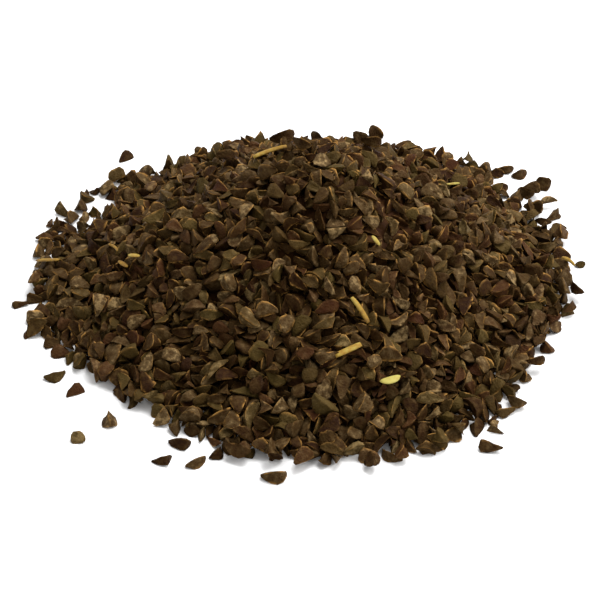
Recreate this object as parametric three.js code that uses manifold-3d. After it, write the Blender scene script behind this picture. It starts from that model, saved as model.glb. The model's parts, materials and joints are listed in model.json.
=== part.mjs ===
// A heap of Syrian rue seeds, as it lies after being poured out on a flat surface.
// Millimetres, +Z up, the surface at z = 0 and the origin under the middle of the whole spread.
//
// The seeds are small dark wedges with three faces, blunt at one end and pointed at the other.
// The heap is one solid: a body whose skin is folded into ridges and hollows of a seed's size,
// with whole seeds and a few bits of straw fused on where they stand out from it.
// Seeds that rolled clear of the heap are solids of their own, each lying on the surface.

import * as THREE from 'three';
import Module from 'manifold-3d';
import { mergeVertices } from 'three/addons/utils/BufferGeometryUtils.js';

const wasm = await Module();
wasm.setup();

// ---- Driving dimensions, in millimetres and degrees ----------------------------------------

const SEED = { length: 3.6, width: 2.3, sizeSpread: 0.16 };

// The heap's outline on the surface: a circle with a few low waves round it.
const FOOT = {
  radius: 44.6,
  edgeThickness: 0.6,
  edgeSpread: 0.6,
  waves: [
    { count: 1, rise: 2.4, at: 64 },
    { count: 2, rise: 0.4, at: -20 },
    { count: 3, rise: 2.5, at: 39 },
    { count: 4, rise: 0.5, at: 35 },
    { count: 7, rise: 0.9, at: -8 },
  ],
};

// At two corners the seeds run out past the mound in an apron one layer thick.
const APRON_THICKNESS = 1.5;
const APRONS = [
  { at: 146, halfAngle: 36, width: 8.4 },
  { at: 36, halfAngle: 36, width: 7.0 },
];

// Bare floor that shows through the aprons: the middle and the size of each gap.
const FLOOR_GAPS = [
  { x: -34.7, y: 25.6, width: 6.2, depth: 4.0 },
  { x: -37.9, y: 18.4, width: 4.6, depth: 4.6 },
  { x: 37.7, y: 30.3, width: 2.8, depth: 6.0 },
  { x: 41.4, y: 24.6, width: 2.6, depth: 4.4 },
];
const GAP_SIDES = 8;

// The crown is rounded, and the flank runs out a little hollow at the foot.
const CROWN = { height: 25.4, x: 3, y: 1.5, roundness: 0.18, hollowFlank: 1.1 };
const SWELL = { height: 0.55, acrossX: 33, acrossY: 28 };

// The folded skin: one ridge for each seed that lies in it, and a hollow between neighbours.
const SKIN = { spacing: 2.0, ridgeHalf: 0.72, ridge: 0.55, ridgeSpread: 0.4, ridgeTip: 0.25, hollow: 0.95 };
const EDGE = { spacing: 1.75, raggedness: 0.75, clearOfHollows: 1.05, clearOfRidges: 1.85 };

// Whole seeds fused on: scattered over the flank, and lying round the foot.
const FLANK_SEEDS = { number: 50, lift: 0.75, tilt: 26, widest: 0.9 };
const FOOT_SEEDS = { number: 56, lift: 0.62, tilt: 14, from: 0.965, to: 1.035 };

// Seeds that stand on end near the crown, against the background.
const STANDING = { lift: 1.7, tilt: 75 };
const STANDING_SEEDS = [
  { x: -2.8, y: 11.0 },
  { x: 13.0, y: 10.0 },
  { x: -12.6, y: 10.5 },
];

// Bits of straw in the heap: where each crosses the skin, its length and which way it points.
const STRAW = { width: 0.95, thickness: 0.7, sides: 5, lift: 0.75, leastHeight: 1.1 };
const STRAWS = [
  { x: 9.8, y: -7.7, length: 4.9, yaw: -52, pitch: 8 },
  { x: 7.8, y: -14.2, length: 4.5, yaw: 24, pitch: 4 },
  { x: 15.0, y: -20.6, length: 3.3, yaw: 17, pitch: 6 },
  { x: -4.8, y: 15.6, length: 5.8, yaw: 14, pitch: 2 },
  { x: -40.4, y: 5.2, length: 5.2, yaw: 176, pitch: 0 },
];

// Seeds clear of the heap: the place of each, its heading, its length and how plump it is.
const LOOSE_SEEDS = [
  { x: -45.9, y: -4.6, yaw: 195, length: 2.9, plump: 1.0 },
  { x: -43.6, y: -12.4, yaw: 62, length: 3.2, plump: 0.95 },
  { x: -38.7, y: -23.7, yaw: 22, length: 3.7, plump: 0.8 },
  { x: -34.9, y: -27.3, yaw: 208, length: 3.2, plump: 1.0 },
  { x: -29.1, y: -34.7, yaw: 98, length: 2.9, plump: 1.0 },
  { x: -33.5, y: -38.5, yaw: 60, length: 2.5, plump: 1.2 },
  { x: -20.6, y: -43.6, yaw: 200, length: 3.3, plump: 0.95 },
  { x: -18.0, y: -39.9, yaw: 172, length: 3.6, plump: 0.85 },
  { x: -15.6, y: -43.9, yaw: 38, length: 3.8, plump: 0.85 },
  { x: -3.7, y: -47.5, yaw: 186, length: 4.0, plump: 0.9 },
  { x: 28.6, y: -40.6, yaw: -22, length: 3.7, plump: 0.9 },
  { x: -31.6, y: 39.9, yaw: 215, length: 3.1, plump: 1.0 },
];

// One seed's form: where it is fullest along its length, how far it runs to each end from there,
// and how far its section stands out at the three ridges and sinks between them.
const FULLEST = { along: 0.38, bluntRun: 0.5, pointedRun: 0.625, thinnest: 0.02 };
const SECTION = { middle: 0.8, ridge: 0.28 };
const BALANCE = 0.45;

// ---- Small helpers ---------------------------------------------------------------------------

const radians = THREE.MathUtils.degToRad;
const UP = new THREE.Vector3(0, 0, 1);

// A repeatable stream of numbers from 0 to 1.
function makeRandom(state) {
  return () => {
    state = (state + 0x6d2b79f5) | 0;
    let t = Math.imul(state ^ (state >>> 15), 1 | state);
    t = (t + Math.imul(t ^ (t >>> 7), 61 | t)) ^ t;
    return ((t ^ (t >>> 14)) >>> 0) / 2 ** 32;
  };
}

const either = (random, half) => (2 * random() - 1) * half;

function toManifold(geometry) {
  const bare = geometry.clone();
  bare.deleteAttribute('normal');
  bare.deleteAttribute('uv');
  const merged = mergeVertices(bare, 1e-4);
  return new wasm.Manifold(
    new wasm.Mesh({
      numProp: 3,
      vertProperties: merged.attributes.position.array,
      triVerts: new Uint32Array(merged.index.array),
    }),
  );
}

function toGeometry(solid) {
  const { vertProperties, triVerts } = solid.getMesh();
  const geometry = new THREE.BufferGeometry();
  geometry.setAttribute('position', new THREE.BufferAttribute(vertProperties, 3));
  geometry.setIndex(new THREE.BufferAttribute(triVerts, 1));
  geometry.computeVertexNormals();
  return geometry;
}

function indexedGeometry(points, triangles) {
  const geometry = new THREE.BufferGeometry();
  const flat = points.flatMap((p) => [p.x, p.y, p.z]);
  geometry.setAttribute('position', new THREE.Float32BufferAttribute(flat, 3));
  geometry.setIndex(triangles.flat());
  return geometry;
}

// ---- The heap's form -------------------------------------------------------------------------

// The outline's radius in a direction.
function footRadius(angle) {
  return FOOT.waves.reduce(
    (sum, wave) => sum + wave.rise * Math.cos(wave.count * (angle - radians(wave.at))),
    FOOT.radius,
  );
}

// The mound's own radius, inside the aprons.
function moundRadius(angle) {
  return APRONS.reduce((radius, apron) => {
    const turn = angle - radians(apron.at);
    const off = Math.abs(Math.atan2(Math.sin(turn), Math.cos(turn)));
    const share = Math.min(off / radians(apron.halfAngle), 1);
    return radius - apron.width * Math.cos((share * Math.PI) / 2) ** 2;
  }, footRadius(angle));
}

// 0 at the middle of the foot and 1 on the outline of the foot or of the mound.
const shareOut = (x, y) => Math.hypot(x, y) / footRadius(Math.atan2(y, x));
const shareOfMound = (x, y) => Math.hypot(x, y) / moundRadius(Math.atan2(y, x));

// The flank's height at a share of the way out: a cone with its tip rounded off.
function flankHeight(share) {
  const round = CROWN.roundness;
  const whole = Math.sqrt(1 + round * round);
  const cone = (whole - Math.sqrt(share * share + round * round)) / (whole - round);
  return CROWN.height * Math.max(cone, 0) ** CROWN.hollowFlank;
}

// The height of the heap's mean skin. The crown leans to one side of the foot's middle, and a low
// swell over the whole mound dies away at its foot.
function heapHeight(x, y) {
  const inward = Math.max(1 - shareOfMound(x, y), 0);
  const share = Math.min(shareOfMound(x - CROWN.x * inward, y - CROWN.y * inward), 1);
  const swell = Math.sin((2 * Math.PI * x) / SWELL.acrossX) * Math.cos((2 * Math.PI * y) / SWELL.acrossY);
  const mound = flankHeight(share) + SWELL.height * swell * Math.min(1, 4 * inward);
  return Math.max(mound, APRON_THICKNESS);
}

// The outward direction of the mean skin, over about the length of a seed.
function heapNormal(x, y, step = SEED.length / 2) {
  const slopeX = (heapHeight(x + step, y) - heapHeight(x - step, y)) / (2 * step);
  const slopeY = (heapHeight(x, y + step) - heapHeight(x, y - step)) / (2 * step);
  return new THREE.Vector3(-slopeX, -slopeY, 1).normalize();
}

// Whether a place of the plan is clear of every floor gap by a margin.
function clearOfGaps(x, y, margin) {
  return FLOOR_GAPS.every((gap) => {
    const across = (x - gap.x) / (gap.width / 2 + margin);
    const along = (y - gap.y) / (gap.depth / 2 + margin);
    return Math.hypot(across, along) > 1;
  });
}

// Points over a region of the plan, none nearer than the spacing to another.
function scatter(random, spacing, inside, most = Infinity) {
  const reach = FOOT.radius * 1.3;
  const found = [];
  for (let tries = 0; tries < 40000 && found.length < most; tries++) {
    const x = either(random, reach);
    const y = either(random, reach);
    const crowded = (p) => Math.hypot(p.x - x, p.y - y) < spacing;
    if (inside(x, y) && !found.some(crowded)) found.push({ x, y });
  }
  return found;
}

// Delaunay triangles of points in the plan, each anticlockwise, by adding one point at a time.
function delaunay(points) {
  const far = FOOT.radius * 60;
  const all = [...points, { x: -far, y: -far }, { x: far, y: -far }, { x: 0, y: far }];
  const last = points.length;

  function withCircle(a, b, c) {
    const [A, B, C] = [all[a], all[b], all[c]];
    const d = 2 * ((B.x - A.x) * (C.y - A.y) - (C.x - A.x) * (B.y - A.y));
    const ab = (B.x - A.x) ** 2 + (B.y - A.y) ** 2;
    const ac = (C.x - A.x) ** 2 + (C.y - A.y) ** 2;
    const x = ((C.y - A.y) * ab - (B.y - A.y) * ac) / d;
    const y = ((B.x - A.x) * ac - (C.x - A.x) * ab) / d;
    return { corners: [a, b, c], x: A.x + x, y: A.y + y, reach: x * x + y * y };
  }

  let triangles = [withCircle(last, last + 1, last + 2)];
  points.forEach((p, index) => {
    const hit = (t) => (p.x - t.x) ** 2 + (p.y - t.y) ** 2 < t.reach;
    const rim = new Map();
    const kept = [];
    for (const triangle of triangles) {
      if (!hit(triangle)) {
        kept.push(triangle);
        continue;
      }
      const [a, b, c] = triangle.corners;
      for (const [from, to] of [[a, b], [b, c], [c, a]]) {
        if (!rim.delete(`${to},${from}`)) rim.set(`${from},${to}`, [from, to]);
      }
    }
    for (const [from, to] of rim.values()) kept.push(withCircle(from, to, index));
    triangles = kept;
  });
  return triangles.map((t) => t.corners).filter((corners) => corners.every((i) => i < last));
}

// The heap's body: its folded skin, a low wall round the edge, and a flat underside.
function heapBody(random) {
  const skinLimit = (x, y) => footRadius(Math.atan2(y, x)) - Math.hypot(x, y);
  const seedCentres = scatter(random, SKIN.spacing, (x, y) => skinLimit(x, y) > EDGE.clearOfRidges);

  const ridges = seedCentres.flatMap(({ x, y }) => {
    const heading = random() * Math.PI;
    const rise = SKIN.ridge + either(random, SKIN.ridgeSpread);
    const tip = (side) => {
      const px = x + side * SKIN.ridgeHalf * Math.cos(heading);
      const py = y + side * SKIN.ridgeHalf * Math.sin(heading);
      return new THREE.Vector3(px, py, heapHeight(px, py) + rise + side * either(random, SKIN.ridgeTip));
    };
    return [tip(-1), tip(1)];
  });

  const hollows = delaunay(seedCentres)
    .map((corners) => {
      const [a, b, c] = corners.map((i) => seedCentres[i]);
      return { x: (a.x + b.x + c.x) / 3, y: (a.y + b.y + c.y) / 3 };
    })
    .filter(({ x, y }) => skinLimit(x, y) > EDGE.clearOfHollows)
    .map(({ x, y }) => {
      const depth = Math.min(SKIN.hollow, 0.5 * heapHeight(x, y));
      return new THREE.Vector3(x, y, Math.max(heapHeight(x, y) - depth, FOOT.edgeThickness));
    });

  const edgeCount = Math.round((2 * Math.PI * FOOT.radius) / EDGE.spacing);
  const edge = Array.from({ length: edgeCount }, (_, i) => {
    const angle = (2 * Math.PI * i) / edgeCount;
    const radius = footRadius(angle) + either(random, EDGE.raggedness);
    return new THREE.Vector3(
      radius * Math.cos(angle),
      radius * Math.sin(angle),
      FOOT.edgeThickness + FOOT.edgeSpread * random(),
    );
  });

  const skin = [...edge, ...ridges, ...hollows];
  const inOutline = insideOutline(edge);
  const top = delaunay(skin).filter((corners) => {
    const middle = corners.reduce((sum, i) => sum.add(skin[i]), new THREE.Vector3());
    return inOutline(middle.x / 3, middle.y / 3);
  });

  const under = edge.map((p) => new THREE.Vector3(p.x, p.y, 0));
  const base = skin.length;
  const wall = edge.flatMap((_, i) => {
    const next = (i + 1) % edgeCount;
    return [
      [i, base + i, base + next],
      [i, base + next, next],
    ];
  });
  const floor = THREE.ShapeUtils.triangulateShape(under, []).map(([a, b, c]) => [
    base + c,
    base + b,
    base + a,
  ]);
  return toManifold(indexedGeometry([...skin, ...under], [...top, ...wall, ...floor]));
}

// A test of whether a point of the plan lies inside a closed outline.
function insideOutline(outline) {
  return (x, y) =>
    outline.reduce((inside, p, i) => {
      const q = outline[(i + 1) % outline.length];
      const spans = p.y > y !== q.y > y;
      return spans && x < ((q.x - p.x) * (y - p.y)) / (q.y - p.y) + p.x ? !inside : inside;
    }, false);
}

// ---- One seed --------------------------------------------------------------------------------

// How thick the seed is along its length, 0 at the blunt end and 1 at the point.
function girth(along) {
  const run = along < FULLEST.along ? FULLEST.bluntRun : FULLEST.pointedRun;
  return Math.sqrt(Math.max(FULLEST.thinnest, 1 - ((along - FULLEST.along) / run) ** 2));
}

// A seed along X, with three faces that meet in ridges. Six sides or more hollow the faces.
function seedGeometry({ length, width, sides, stations, bend = 0.05 }) {
  const rings = Array.from({ length: stations }, (_, i) => {
    const along = i / (stations - 1);
    const x = (along - BALANCE) * length;
    return Array.from({ length: sides }, (_, k) => {
      const angle = (2 * Math.PI * k) / sides + Math.PI / 2;
      const onRidge = Math.cos(3 * (angle - Math.PI / 2));
      const radius = (width / 2) * girth(along) * (SECTION.middle + SECTION.ridge * onRidge);
      return new THREE.Vector3(x, radius * Math.cos(angle), radius * Math.sin(angle) - bend * x * x);
    });
  });
  const points = rings.flat();
  const triangles = [];
  for (let i = 0; i + 1 < stations; i++) {
    for (let k = 0; k < sides; k++) {
      const a = i * sides + k;
      const b = i * sides + ((k + 1) % sides);
      triangles.push([a, b, b + sides], [a, b + sides, a + sides]);
    }
  }
  const last = (stations - 1) * sides;
  for (let k = 1; k + 1 < sides; k++) {
    triangles.push([0, k + 1, k], [last, last + k, last + k + 1]);
  }
  return indexedGeometry(points, triangles);
}

// The turn that lays a seed along a heading on a slope, on one of its three faces, and tips it.
function layOn(normal, random, tilt) {
  const onSlope = new THREE.Quaternion().setFromUnitVectors(UP, normal);
  const heading = new THREE.Quaternion().setFromAxisAngle(UP, 2 * Math.PI * random());
  const tip = new THREE.Quaternion().setFromEuler(
    new THREE.Euler(
      Math.floor(3 * random()) * radians(120) + radians(either(random, tilt)),
      radians(either(random, tilt)),
      0,
    ),
  );
  return onSlope.multiply(heading).multiply(tip);
}

// A seed fused on at a place of the plan, standing a little out of the skin.
function fusedSeed({ x, y }, random, { lift, tilt }) {
  const size = 1 + either(random, SEED.sizeSpread);
  const geometry = seedGeometry({
    length: SEED.length * size,
    width: SEED.width * size * (1 + either(random, SEED.sizeSpread)),
    sides: 3,
    stations: 3,
  });
  const normal = heapNormal(x, y);
  geometry.applyQuaternion(layOn(normal, random, tilt));
  geometry.translate(x, y, heapHeight(x, y) + lift * normal.z);
  geometry.computeBoundingBox();
  geometry.translate(0, 0, Math.max(0, -geometry.boundingBox.min.z));
  return toManifold(geometry);
}

// ---- Straw -----------------------------------------------------------------------------------

// A straight bit of dry stalk, lying across the seeds at a place of the plan.
function strawBit({ x, y, length, yaw, pitch }) {
  const geometry = new THREE.CylinderGeometry(STRAW.width / 2, STRAW.width / 2, length, STRAW.sides);
  geometry.rotateZ(Math.PI / 2);
  geometry.scale(1, 1, STRAW.thickness / STRAW.width);
  geometry.rotateY(-radians(pitch));
  geometry.rotateZ(radians(yaw));
  geometry.applyQuaternion(new THREE.Quaternion().setFromUnitVectors(UP, heapNormal(x, y)));
  geometry.translate(x, y, Math.max(heapHeight(x, y) + STRAW.lift, STRAW.leastHeight));
  return toManifold(geometry);
}

// ---- The heap --------------------------------------------------------------------------------

// The block that leaves a gap in an apron, from below the floor to above the skin.
function gapBlock({ x, y, width, depth }) {
  const geometry = new THREE.CylinderGeometry(0.5, 0.5, CROWN.height, GAP_SIDES);
  geometry.rotateX(Math.PI / 2);
  geometry.scale(width, depth, 1);
  geometry.translate(x, y, 0);
  return toManifold(geometry);
}

function heapGeometry() {
  const random = makeRandom(20611);
  const body = FLOOR_GAPS.reduce((solid, gap) => solid.subtract(gapBlock(gap)), heapBody(random));

  const flank = (x, y) => shareOut(x, y) < FLANK_SEEDS.widest && clearOfGaps(x, y, SEED.length / 2);
  const rim = (x, y) => shareOut(x, y) > FOOT_SEEDS.from && shareOut(x, y) < FOOT_SEEDS.to;
  const onFlank = scatter(random, SEED.length, flank, FLANK_SEEDS.number);
  const onFoot = scatter(random, SEED.length * 0.95, rim, FOOT_SEEDS.number);

  const whole = wasm.Manifold.union([
    body,
    ...onFlank.map((place) => fusedSeed(place, random, FLANK_SEEDS)),
    ...onFoot.map((place) => fusedSeed(place, random, FOOT_SEEDS)),
    ...STANDING_SEEDS.map((place) => fusedSeed(place, random, STANDING)),
    ...STRAWS.map(strawBit),
  ]);
  // Hollows that the fusing sealed come out as bodies of negative volume, and are left filled.
  const [largest] = whole.decompose().sort((a, b) => b.volume() - a.volume());
  return toGeometry(largest);
}

// ---- Assembly --------------------------------------------------------------------------------

const seedMaterial = new THREE.MeshStandardMaterial({ color: 0x3d2c1b, roughness: 0.72, metalness: 0 });
const paleSeedMaterial = new THREE.MeshStandardMaterial({ color: 0x6b5a34, roughness: 0.7, metalness: 0 });

function looseSeed({ x, y, yaw, length, plump }, index) {
  const width = SEED.width * plump * (length / SEED.length) ** 0.5;
  const geometry = seedGeometry({ length, width, sides: 6, stations: 4, bend: 0.03 });
  geometry.rotateX(Math.PI);
  geometry.computeBoundingBox();
  const pale = plump > 1.1;
  const mesh = new THREE.Mesh(geometry, pale ? paleSeedMaterial : seedMaterial);
  mesh.name = `loose_seed_${String(index + 1).padStart(2, '0')}`;
  mesh.position.set(x, y, -geometry.boundingBox.min.z);
  mesh.rotation.z = radians(yaw);
  return mesh;
}

const spread = new THREE.Group();
const heap = new THREE.Mesh(heapGeometry(), seedMaterial);
heap.name = 'seed_heap';
spread.add(heap, ...LOOSE_SEEDS.map(looseSeed));

// The origin goes under the middle of the whole spread.
const middle = new THREE.Box3().setFromObject(spread).getCenter(new THREE.Vector3());
spread.position.set(-middle.x, -middle.y, 0);

const part = new THREE.Group();
part.add(spread);

export default part;
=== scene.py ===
"""A heap of Syrian rue seeds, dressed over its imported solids.

The heap is a low cone of small dark seeds on a bare surface. Its solid gives the mean skin. Over a
core worked out from that skin, seeds of true size are dropped and left to settle on each other, and
what the eye sees is those seeds, some bits of straw and chaff, and the stray seeds round the foot.

Sizes below are in millimetres unless a name says otherwise; meshes are written in metres.
"""

import json
import logging
import math
import time
from dataclasses import dataclass, field, fields, replace
from enum import Enum
from functools import reduce

import bpy
import numpy as np
from mathutils import Matrix, Vector
from mathutils.bvhtree import BVHTree

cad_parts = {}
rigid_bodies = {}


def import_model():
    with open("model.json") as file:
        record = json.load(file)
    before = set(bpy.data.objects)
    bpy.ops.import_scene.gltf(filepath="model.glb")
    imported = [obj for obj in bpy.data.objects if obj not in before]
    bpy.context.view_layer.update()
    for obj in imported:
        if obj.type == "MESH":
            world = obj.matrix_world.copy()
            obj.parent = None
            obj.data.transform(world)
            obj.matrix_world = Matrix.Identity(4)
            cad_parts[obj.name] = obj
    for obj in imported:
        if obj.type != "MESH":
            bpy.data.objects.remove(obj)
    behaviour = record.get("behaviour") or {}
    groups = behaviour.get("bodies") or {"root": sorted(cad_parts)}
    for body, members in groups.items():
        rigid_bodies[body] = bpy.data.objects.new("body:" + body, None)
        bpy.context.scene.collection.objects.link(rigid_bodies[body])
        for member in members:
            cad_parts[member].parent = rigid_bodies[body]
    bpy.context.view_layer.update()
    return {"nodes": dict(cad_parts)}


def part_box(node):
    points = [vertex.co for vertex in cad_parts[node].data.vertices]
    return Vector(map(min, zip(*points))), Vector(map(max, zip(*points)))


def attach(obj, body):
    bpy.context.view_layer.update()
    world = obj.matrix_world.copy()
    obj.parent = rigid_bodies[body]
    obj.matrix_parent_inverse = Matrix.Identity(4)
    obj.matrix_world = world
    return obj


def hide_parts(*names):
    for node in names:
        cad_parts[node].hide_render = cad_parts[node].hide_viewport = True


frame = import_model()

LOG = logging.getLogger("seed_heap")
METRE = 0.001  # one millimetre in metres
BODY = "root"
HEAP_NODE = "seed_heap"

Socket = bpy.types.NodeSocket


# ---- Named options ---------------------------------------------------------------------------


class SeedKind(Enum):
    """The shapes that Syrian rue seeds come in."""

    WEDGE = "wedge"
    FLAKE = "flake"
    CRESCENT = "crescent"
    BLOCK = "block"
    PLUMP = "plump"
    SLIVER = "sliver"


WEDGE, FLAKE, CRESCENT, BLOCK, PLUMP, SLIVER = SeedKind


class Side(Enum):
    """The three faces that a seed can lie on."""

    LEFT = 0
    BACK = 1
    RIGHT = 2


LEFT, BACK, RIGHT = Side


# ---- The form of one seed --------------------------------------------------------------------


@dataclass(frozen=True)
class SeedForm:
    """Sizes of one kind of seed, and how its three faces swell or sink.

    The seed lies along X, blunt end first. Its section is a triangle of ridges: the inner edge on
    top and the two rims of its back below. sides and back say how far its faces swell out (or
    sink, if negative), as a share of the width. Each end fills up over its run, a share of the
    length, by its power. arch says how far both ends rise towards the inner edge, as a share of
    the height, and curl how far they swing to one side. share is the kind's part of the heap.
    """

    length: float
    width: float
    height: float
    sides: float
    back: float
    blunt_run: float
    blunt_power: float
    point_run: float
    point_power: float
    arch: float
    curl: float
    share: float


# In the order of SeedForm's fields: sizes, swell, blunt end, point, bend, share.
FORMS: dict[SeedKind, SeedForm] = {
    WEDGE: SeedForm(3.4, 1.95, 2.10, -0.03, 0.20, 0.26, 0.50, 0.60, 0.52, 0.40, 0.040, 0.34),
    FLAKE: SeedForm(3.2, 2.35, 1.35, -0.04, 0.16, 0.16, 0.50, 0.85, 0.60, 0.15, 0.050, 0.13),
    CRESCENT: SeedForm(3.8, 1.70, 1.65, 0.08, 0.14, 0.45, 0.58, 0.50, 0.52, 0.85, 0.075, 0.22),
    BLOCK: SeedForm(2.8, 2.10, 1.90, -0.02, 0.14, 0.14, 0.42, 0.28, 0.42, 0.20, 0.040, 0.13),
    PLUMP: SeedForm(2.9, 2.10, 1.95, 0.14, 0.20, 0.42, 0.48, 0.50, 0.48, 0.05, 0.010, 0.07),
    SLIVER: SeedForm(3.7, 1.35, 1.40, -0.01, 0.16, 0.32, 0.52, 0.60, 0.55, 0.45, 0.075, 0.11),
}


@dataclass(frozen=True)
class SeedSpread:
    """How far the variants of one kind differ, each way from the kind's own form.

    size, length, blunt and point are shares of the form's sizes and runs; lean moves the inner
    edge across, as a share of half the width; bow is added to each face's swell; rim moves each
    rim up or down; fullness and dent roughen the taper and, in millimetres, every point; twist is
    in radians over the length; slant skews the blunt end, over slant_reach of the length.
    """

    size: float = 0.13
    length: float = 0.10
    lean: float = 0.32
    bow: float = 0.045
    rim: float = 0.15
    blunt: float = 0.22
    point: float = 0.18
    fullness: float = 0.035
    twist: float = 0.35
    slant: float = 0.28
    slant_reach: float = 0.25
    arch: float = 0.5
    dent: float = 0.038


RINGS = np.array([0.035, 0.19, 0.40, 0.62, 0.82, 0.965])  # places of the rings along a seed
FACE_STEPS = np.array([0.0, 0.24, 0.76])  # places of the points across each face
RIDGES = 3
SIDES = RIDGES * len(FACE_STEPS)
VARIANTS = 10
SEED_MIDDLE = 0.46  # where along the seed its middle lies
TWIST_MIDDLE = 0.45  # where along the seed the twist is nought
EDGE_HEIGHT, RIM_DEPTH = 0.60, 0.40  # the inner edge and the rims, as shares of the height
END_REACH = 0.03  # how far an end point stands past its ring, as a share of the length
BLUNT_RIDGE = 0.5  # how much of a ridge the blunt end's point is
MIDDLE_RING = 2
HULL_RIDGE_RINGS = [0, 2, 3, 5]
HULL_FACE_RINGS = [1, 3, 4]


def end_taper(
    along: np.ndarray, form: SeedForm, blunt: np.ndarray, point: np.ndarray
) -> np.ndarray:
    """How full the seed is along its length, from 0 at its ends to 1.

    In words: the share of the way in from each end, over that end's run, capped at 1 and raised to
    that end's power; the two are multiplied.

    Args:
        along: place along the seed, 0 at the blunt end and 1 at the point.
        form: the seed's kind.
        blunt: factor on the blunt end's run, one per variant.
        point: factor on the pointed end's run, one per variant.

    Returns:
        The fullness, with a row per variant and a column per place.
    """
    rise = np.clip(along[None, :] / (form.blunt_run * blunt[:, None]), 0, 1)
    fall = np.clip((1 - along[None, :]) / (form.point_run * point[:, None]), 0, 1)
    return rise**form.blunt_power * fall**form.point_power


def seed_variants(form: SeedForm, rng: np.random.Generator) -> np.ndarray:
    """Several shapes of one kind of seed, each a little different.

    In words: the section is a triangle whose sides bow by each face's share of the width; it is
    scaled along the seed by end_taper and turned by a slow twist. Its middle rises towards the
    inner edge by arch times what the taper takes away, and swings sideways along a parabola. Small
    dents move every point by a few hundredths of a millimetre.

    Args:
        form: the kind's sizes.
        rng: the stream of random numbers.

    Returns:
        Points with shape (variant, point, 3), ring by ring, with the two end points last.
    """
    spread = SeedSpread()

    def around(mean: float, reach: float) -> np.ndarray:
        """One random number per variant, within a reach of a mean."""
        return mean + reach * rng.uniform(-1, 1, VARIANTS)

    width = form.width * around(1, spread.size)
    height = form.height * around(1, spread.size)
    lean = around(0, spread.lean) * width / 2
    bows = [around(bow, spread.bow) for bow in (form.sides, form.back, form.sides)]
    corners = [np.stack([lean, EDGE_HEIGHT * height], 1)] + [
        np.stack([way * width / 2, -RIM_DEPTH * height * around(1, spread.rim)], 1)
        for way in (-1, 1)
    ]

    swell = 4 * FACE_STEPS * (1 - FACE_STEPS)
    section = []
    for start, end, bow in zip(corners, corners[1:] + corners[:1], bows):
        side = end - start
        inward = np.stack([side[:, 1], -side[:, 0]], 1)
        inward /= np.linalg.norm(inward, axis=1, keepdims=True)
        section.append(
            start[:, None, :] * (1 - FACE_STEPS)[None, :, None]
            + end[:, None, :] * FACE_STEPS[None, :, None]
            - inward[:, None, :] * (bow * width)[:, None, None] * swell[None, :, None]
        )
    section = np.concatenate(section, axis=1)

    full = end_taper(RINGS, form, around(1, spread.blunt), around(1, spread.point))
    full = full * rng.normal(1, spread.fullness, full.shape)
    twist = around(0, spread.twist)[:, None] * (RINGS - TWIST_MIDDLE)[None, :]
    cos, sin = np.cos(twist)[:, :, None], np.sin(twist)[:, :, None]
    y = section[:, None, :, 0] * full[:, :, None]
    z = section[:, None, :, 1] * full[:, :, None]
    y, z = y * cos - z * sin, y * sin + z * cos

    length = form.length * around(1, spread.length)
    x = (RINGS[None, :] - SEED_MIDDLE) * length[:, None]
    skewed = np.exp(-((RINGS / spread.slant_reach) ** 2))
    slant = around(0, spread.slant)[:, None] * skewed[None, :]
    arch = form.arch * around(1.0, spread.arch)[:, None] * height[:, None] * (1 - full)
    curl = around(0, form.curl)[:, None] * x**2
    x = x[:, :, None] + slant[:, :, None] * y
    y = y + curl[:, :, None]
    z = z + arch[:, :, None]

    points = np.stack([x, y, z], -1)
    points = points + rng.normal(0, spread.dent, points.shape)
    ends = np.stack([points[:, 0].mean(1), points[:, -1].mean(1)], 1)
    ends[:, 0, 0] -= END_REACH * length
    ends[:, 1, 0] += END_REACH * length
    points = np.concatenate([points.reshape(VARIANTS, -1, 3), ends], axis=1)
    return points - points.mean(axis=1, keepdims=True)


def ridge_share() -> np.ndarray:
    """How far each point of a seed is a ridge, from 0 on its faces to 1."""
    on_ridge = np.arange(SIDES) % len(FACE_STEPS) == 0
    return np.concatenate([np.tile(on_ridge.astype(float), len(RINGS)), [BLUNT_RIDGE, 1.0]])


# ---- Meshes from arrays ----------------------------------------------------------------------


def tube_faces(rings: int, sides: int) -> tuple[np.ndarray, np.ndarray]:
    """The quads between a tube's rings and the triangles of its two ends, faces pointing out.

    Args:
        rings: how many rings the tube has.
        sides: how many points a ring has; the two end points come after the last ring.

    Returns:
        Quads and triangles, as point numbers within one tube.
    """
    ring = np.arange(sides)
    after = (ring + 1) % sides
    starts = np.arange(rings - 1)[:, None] * sides
    quads = [starts + ring, starts + after, starts + sides + after, starts + sides + ring]
    last = (rings - 1) * sides
    first_end, last_end = (np.full(sides, rings * sides + k) for k in (0, 1))
    ends = [
        np.stack([first_end, after, ring], 1),
        np.stack([last_end, last + ring, last + after], 1),
    ]
    return np.stack(quads, -1).reshape(-1, 4), np.concatenate(ends)


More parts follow.
